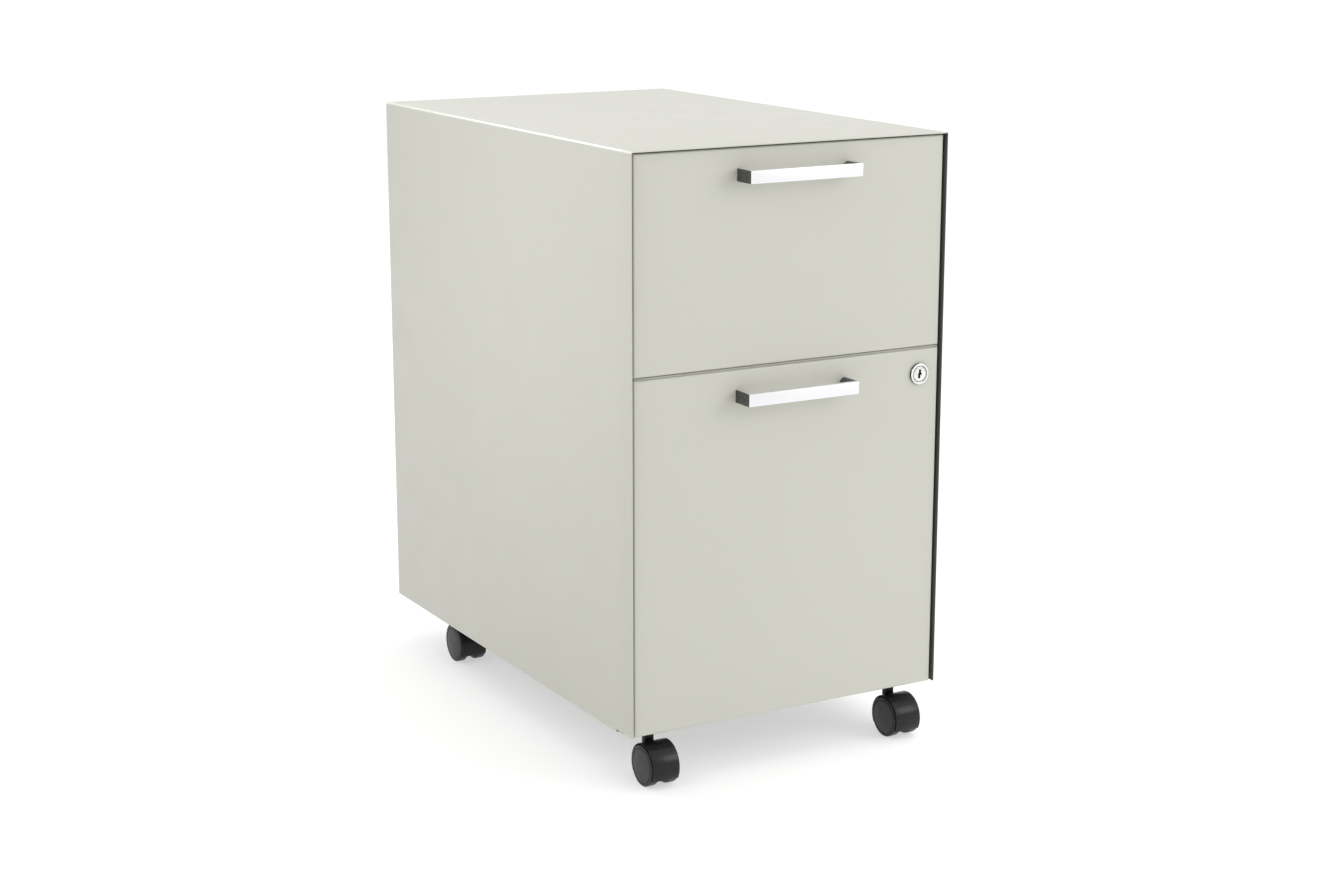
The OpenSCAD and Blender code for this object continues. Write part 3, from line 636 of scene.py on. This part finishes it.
class CABINET_OT_casters(bpy.types.Operator):
    """Round the caster hoods, turn their wheels and coat their stems"""

    bl_idname = "cabinet.casters"
    bl_label = "Casters"

    def execute(self, context):
        s = sizes()
        for corner in CORNERS:
            hood = "hood_" + corner
            bm = merged_copy(hood)
            soften(bm, sharp_edges(bm, 50.0), s.hood_edge, 3)
            smooth_by_angle(bm)
            make_piece(bm, hood + "_shell", "caster_" + corner, "caster_plastic", ["caster_nylon"], hood)
            hood_low, hood_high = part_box(hood)
            middle = (hood_low.x + hood_high.x) / 2
            for side in SIDES:
                node = f"wheel_{corner}_{side}"
                low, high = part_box(node)
                outward = math.copysign(1.0, (low.x + high.x) / 2 - middle)
                centre = (middle, (low.y + high.y) / 2, (low.z + high.z) / 2)
                reach = max(abs(low.x - middle), abs(high.x - middle))
                bm = self.wheel(centre, outward, (high.z - low.z) / 2, reach)
                finishes = ["caster_nylon", "cap_painted_light_nylon"]
                make_piece(bm, node + "_disc", node, "caster_plastic", finishes, node)
            coat_node("axle_" + corner, "zinc_plate")
        coat_node("caster_stems", "black_zinc")
        coat_node("caster_nuts", "zinc_plate")
        return {"FINISHED"}

    def wheel(self, centre, outward, radius, cap):
        """One wheel: a rounded tread, a stepped rim, a grooved cap with a low dome, and a hollow behind."""
        s = sizes()
        inside, wall, rim = s.wheel_inside, s.tread_wall, cap - s.cap_dome
        cover = rim - COVER_WALL
        dome_r = radius - s.cap_inset
        dome_ball = (dome_r ** 2 + s.cap_dome ** 2) / (2 * s.cap_dome)
        profile = [(inside, AXLE_BORE), (inside, wall), (cover, wall), (cover, radius - wall)]
        profile += [(inside, radius - wall)]
        profile += arc((inside + s.tread_edge, radius - s.tread_edge), s.tread_edge, 180.0, 90.0)
        profile += arc((rim - s.rim_edge, radius - s.rim_edge), s.rim_edge, 90.0, 0.0, 5)
        profile += [(rim, dome_r + 0.7 * MM), (rim - 0.15 * MM, dome_r + 0.55 * MM)]
        profile += [(rim - s.cap_groove, dome_r + 0.45 * MM), (rim - s.cap_groove, dome_r + 0.05 * MM)]
        profile += [(rim - 0.1 * MM, dome_r)]
        steps = 14
        for i in range(steps + 1):
            r = (dome_r - 0.12 * MM) * (1.0 - i / steps)
            profile.append((cap - dome_ball + math.sqrt(dome_ball ** 2 - r ** 2), r))
        profile += [(rim - 1.0 * MM, 0.0), (rim - 1.0 * MM, AXLE_BORE)]
        bm = spun(profile, (outward, 0.0, 0.0), centre)
        # Painted light: the cap's dome takes the lighter cap nylon, standing for the light that falls on the
        # wheel's outward face.
        axle = Vector(centre)
        for face in bm.faces:
            away = face.calc_center_median() - axle
            on_painted_light_cap = away.x * outward > rim - 0.1 * MM and math.hypot(away.y, away.z) < dome_r
            face.material_index = 1 if on_painted_light_cap else 0
        smooth_by_angle(bm, 40.0)
        return bm


class CABINET_OT_hardware(bpy.types.Operator):
    """Plate the slides, uprights, channels and bolts, and give the counterweight its cast skin"""

    bl_idname = "cabinet.hardware"
    bl_label = "Hardware"

    def execute(self, context):
        for node in ("slide_uprights", "base_channels", "counterweight_bolts"):
            coat_node(node, "zinc_plate")
        for drawer in DRAWERS:
            for member in ("outer", "middle", "inner"):
                for hand in ("left", "right"):
                    coat_node(f"{drawer}_slide_{member}_{hand}", "zinc_plate")
            for row in ("rear", "front"):
                coat_node(f"{drawer}_{row}_ball_cages", "zinc_plate")
        coat_node("counterweight", "cast_iron")
        return {"FINISHED"}


# --- Stage ---


def area_light(name, place, target, width, height, power):
    """A soft box aimed at the target, which the camera doesn't see."""
    light = bpy.data.lights.new(name, "AREA")
    light.shape = "RECTANGLE"
    light.size, light.size_y = width, height
    light.energy = power
    lamp = bpy.data.objects.new(name, light)
    lamp.location = place
    lamp.rotation_euler = (Vector(target) - Vector(place)).to_track_quat("-Z", "Y").to_euler()
    lamp.visible_camera = False
    bpy.context.scene.collection.objects.link(lamp)
    return lamp


def stage_panel(name, corners, finish_made):
    """A flat sheet of the studio."""
    bm = bmesh.new()
    bm.faces.new([bm.verts.new(c) for c in corners])
    mesh = bpy.data.meshes.new(name)
    bm.to_mesh(mesh)
    bm.free()
    mesh.materials.append(finish_made)
    panel = bpy.data.objects.new(name, mesh)
    bpy.context.scene.collection.objects.link(panel)


class CABINET_OT_stage(bpy.types.Operator):
    """Set up the pale floor, the soft lights and the camera"""

    bl_idname = "cabinet.stage"
    bl_label = "Stage"

    def execute(self, context):
        self.lay_floor()
        self.light_dome(context.scene)
        self.hang_lights()
        self.set_camera(context.scene)
        context.scene.view_settings.view_transform = "Standard"
        return {"FINISHED"}

    def lay_floor(self):
        """A wide sheet of paper that glows a little, so that it stays white around the soft shadow."""
        floor = Finish("floor_paper", Specular_IOR_Level=0.0, Roughness=1.0, Emission_Strength=0.52)
        floor.surface.inputs["Emission Color"].default_value = (1.0, 1.0, 1.0, 1.0)
        floor.tones(floor.noise(1.5), (0.57, 0.57, 0.57), 0.004)
        reach = 40.0
        outline = ((-reach, -reach), (reach, -reach), (reach, reach), (-reach, reach))
        corners = [(x, y, 0.0) for x, y in outline]
        stage_panel("studio_floor", corners, floor.material)

    def light_dome(self, scene):
        """A white dome, brighter overhead than at the horizon and brighter on the lock's side."""
        world = bpy.data.worlds.new("studio_world")
        world.use_nodes = True
        tree = world.node_tree
        direction = tree.nodes.new("ShaderNodeTexCoord").outputs["Generated"]
        split = tree.nodes.new("ShaderNodeSeparateXYZ")
        tree.links.new(direction, split.inputs["Vector"])
        glow = tree.nodes.new("ShaderNodeMath")
        glow.operation = "MULTIPLY"
        slopes = (
            ("Z", {"To Min": 0.75, "To Max": 1.0}),
            ("X", {"From Min": -1.0, "To Min": 0.6, "To Max": 1.4}),
        )
        for factor_index, (axis, ends) in enumerate(slopes):
            slope = tree.nodes.new("ShaderNodeMapRange")
            tree.links.new(split.outputs[axis], slope.inputs["Value"])
            for socket, value in ends.items():
                slope.inputs[socket].default_value = value
            tree.links.new(slope.outputs["Result"], glow.inputs[factor_index])
        background = tree.nodes["Background"].inputs
        tree.links.new(glow.outputs["Value"], background["Strength"])
        background["Color"].default_value = (1.0, 1.0, 1.0, 1.0)
        scene.world = world

    def hang_lights(self):
        side = area_light("side_light", (-1.2, -0.3, 1.05), (-0.16, -0.1, 0.60), 0.6, 0.6, 0.72)
        side.data.spread = math.radians(60.0)
        area_light("rim_light", (-0.3, 3.0, 2.0), (0.0, 0.0, 0.5), 2.2, 0.9, 26.0)
        area_light("front_light", (1.1, -1.5, 1.0), (0.0, -0.2, 0.3), 0.8, 0.8, 6.5)
        area_light("top_light", (1.1, 0.2, 2.2), (0.0, -0.1, 0.55), 0.9, 0.9, 6.0)

    def set_camera(self, scene):
        tilt_down, turn_right = 13.347, 29.433
        lens = bpy.data.cameras.new("camera")
        lens.lens = 64.78
        lens.sensor_width = 36.0
        lens.sensor_fit = "HORIZONTAL"
        lens.clip_end = 200.0
        camera = bpy.data.objects.new("camera", lens)
        camera.location = (-1.094, -1.958, 0.7775)
        camera.rotation_euler = Euler((math.radians(90.0 - tilt_down), 0.0, math.radians(-turn_right)), "XYZ")
        scene.collection.objects.link(camera)
        scene.camera = camera


class CABINET_PT_pieces(bpy.types.Panel):
    """Lists the cabinet's pieces, sizes and colours"""

    bl_label = "Filing Cabinet"
    bl_space_type = "VIEW_3D"
    bl_region_type = "UI"
    bl_category = "Cabinet"

    def draw(self, context):
        column = self.layout.column()
        for operator in OPERATORS:
            column.operator(operator.bl_idname)
        for group in (context.scene.cabinet_sizes, context.scene.cabinet_colours):
            for name in group.bl_rna.properties.keys():
                if name not in ("rna_type", "name"):
                    column.prop(group, name)


OPERATORS = (
    CABINET_OT_stage,
    CABINET_OT_case,
    CABINET_OT_drawer_fronts,
    CABINET_OT_drawer_bodies,
    CABINET_OT_handles,
    CABINET_OT_lock,
    CABINET_OT_casters,
    CABINET_OT_hardware,
)
CLASSES = (CabinetSizes, CabinetColours, *OPERATORS, CABINET_PT_pieces)


def register():
    for each in CLASSES:
        bpy.utils.register_class(each)
    bpy.types.Scene.cabinet_sizes = bpy.props.PointerProperty(type=CabinetSizes)
    bpy.types.Scene.cabinet_colours = bpy.props.PointerProperty(type=CabinetColours)


def unregister():
    del bpy.types.Scene.cabinet_colours
    del bpy.types.Scene.cabinet_sizes
    for each in reversed(CLASSES):
        bpy.utils.unregister_class(each)


def main():
    register()
    bpy.ops.cabinet.stage()
    bpy.ops.cabinet.case()
    bpy.ops.cabinet.drawer_fronts()
    bpy.ops.cabinet.drawer_bodies()
    bpy.ops.cabinet.handles()
    bpy.ops.cabinet.lock()
    bpy.ops.cabinet.casters()
    bpy.ops.cabinet.hardware()


if __name__ == "__main__":
    main()
